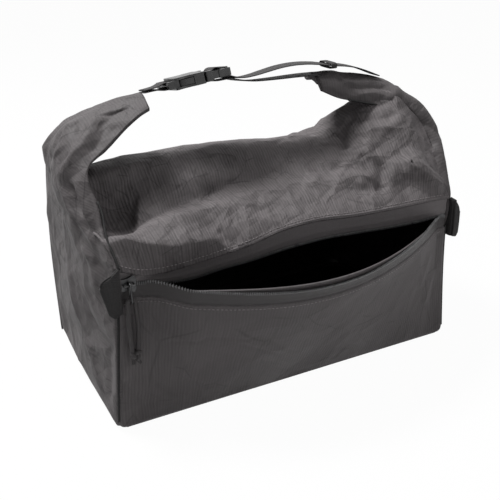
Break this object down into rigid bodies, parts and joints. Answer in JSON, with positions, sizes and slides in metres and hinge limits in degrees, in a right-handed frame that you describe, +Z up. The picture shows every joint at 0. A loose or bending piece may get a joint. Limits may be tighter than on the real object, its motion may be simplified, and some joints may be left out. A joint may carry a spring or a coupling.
{
  "type": "hanging toiletry bag",
  "caption": "Boxy cloth toiletry bag with a full-width zip, a rolled top and two arms joined by a side-release buckle on an adjustable strap as a handle to carry or hang it by.",
  "frame": {"origin": "middle of the base's underside", "axes": "+X along the zip towards its closed end, +Y from the zip to the back, +Z up"},
  "size_m": [0.2944, 0.1974, 0.2165],
  "materials": {
    "side_cloth": "matt coated ripstop",
    "front_cloth": "matt coated ripstop",
    "top_cloth": "matt coated ripstop, fine parallel ribs",
    "webbing": "woven webbing",
    "tape": "woven tape",
    "coil": "moulded teeth",
    "cord": "braided cord",
    "slider_metal": "black coated metal",
    "moulded_black": "satin moulded acetal"
  },
  "bodies": {
    "bag": {"base_panel": "front_cloth", "front_panel": "front_cloth", "upper_front_panel": "top_cloth", "back_panel": "side_cloth", "left_gusset": "side_cloth", "right_gusset": "side_cloth", "base_binding": "tape", "corner_bindings": "tape", "rolled_top": "top_cloth", "roll_stiffener": "moulded_black", "zip_tape_lower": "tape", "zip_tape_upper": "tape", "zip_coil_lower": "coil", "zip_coil_upper": "coil", "zip_stops": "slider_metal", "zip_end_tab_left": "webbing", "zip_end_tab_right": "webbing"},
    "slider": {"slider_body": "slider_metal"},
    "pull": {"pull_wire": "slider_metal", "pull_hitch": "cord", "pull_cord": "cord", "pull_knot": "cord"},
    "handle": {"left_arm": "side_cloth", "right_arm": "side_cloth", "left_web_loop": "webbing", "right_strap": "webbing", "strap_tail": "webbing", "strap_keeper": "webbing", "buckle_socket": "moulded_black"},
    "plug": {"buckle_plug": "moulded_black", "strap_wrap": "webbing"},
    "latch_front": {"latch_front": "moulded_black"},
    "latch_back": {"latch_back": "moulded_black"}
  },
  "joints": [
    {"name": "zip_travel", "type": "slide", "parent": "bag", "child": "slider", "axis": [1, 0, 0], "range_m": [0, 0.2512], "deforming": ["zip_tape_lower", "zip_tape_upper", "zip_coil_lower", "zip_coil_upper", "front_panel"]},
    {"name": "pull_swing", "type": "hinge", "parent": "slider", "child": "pull", "pos_m": [-0.1256, -0.07975, 0.106], "axis": [1, 0, 0], "range_deg": [-150, 0]},
    {"name": "handle_tilt", "type": "hinge", "parent": "bag", "child": "handle", "pos_m": [0, 0.008, 0.15], "axis": [1, 0, 0], "range_deg": [-30, 30]},
    {"name": "buckle_release", "type": "slide", "parent": "handle", "child": "plug", "axis": [0.9903, 0, 0.1392], "range_m": [0, 0.024], "deforming": ["right_strap", "strap_tail", "latch_front", "latch_back"]},
    {"name": "latch_front_squeeze", "type": "hinge", "parent": "plug", "child": "latch_front", "pos_m": [-0.0383, -0.00047, 0.21033], "axis": [0.1371, -0.1736, -0.9752], "range_deg": [0, 14], "stiffness_Nm_per_rad": 0.02},
    {"name": "latch_back_squeeze", "type": "hinge", "parent": "plug", "child": "latch_back", "pos_m": [-0.03788, 0.01647, 0.20737], "axis": [-0.1371, 0.1736, 0.9752], "range_deg": [0, 14], "stiffness_Nm_per_rad": 0.02}
  ]
}
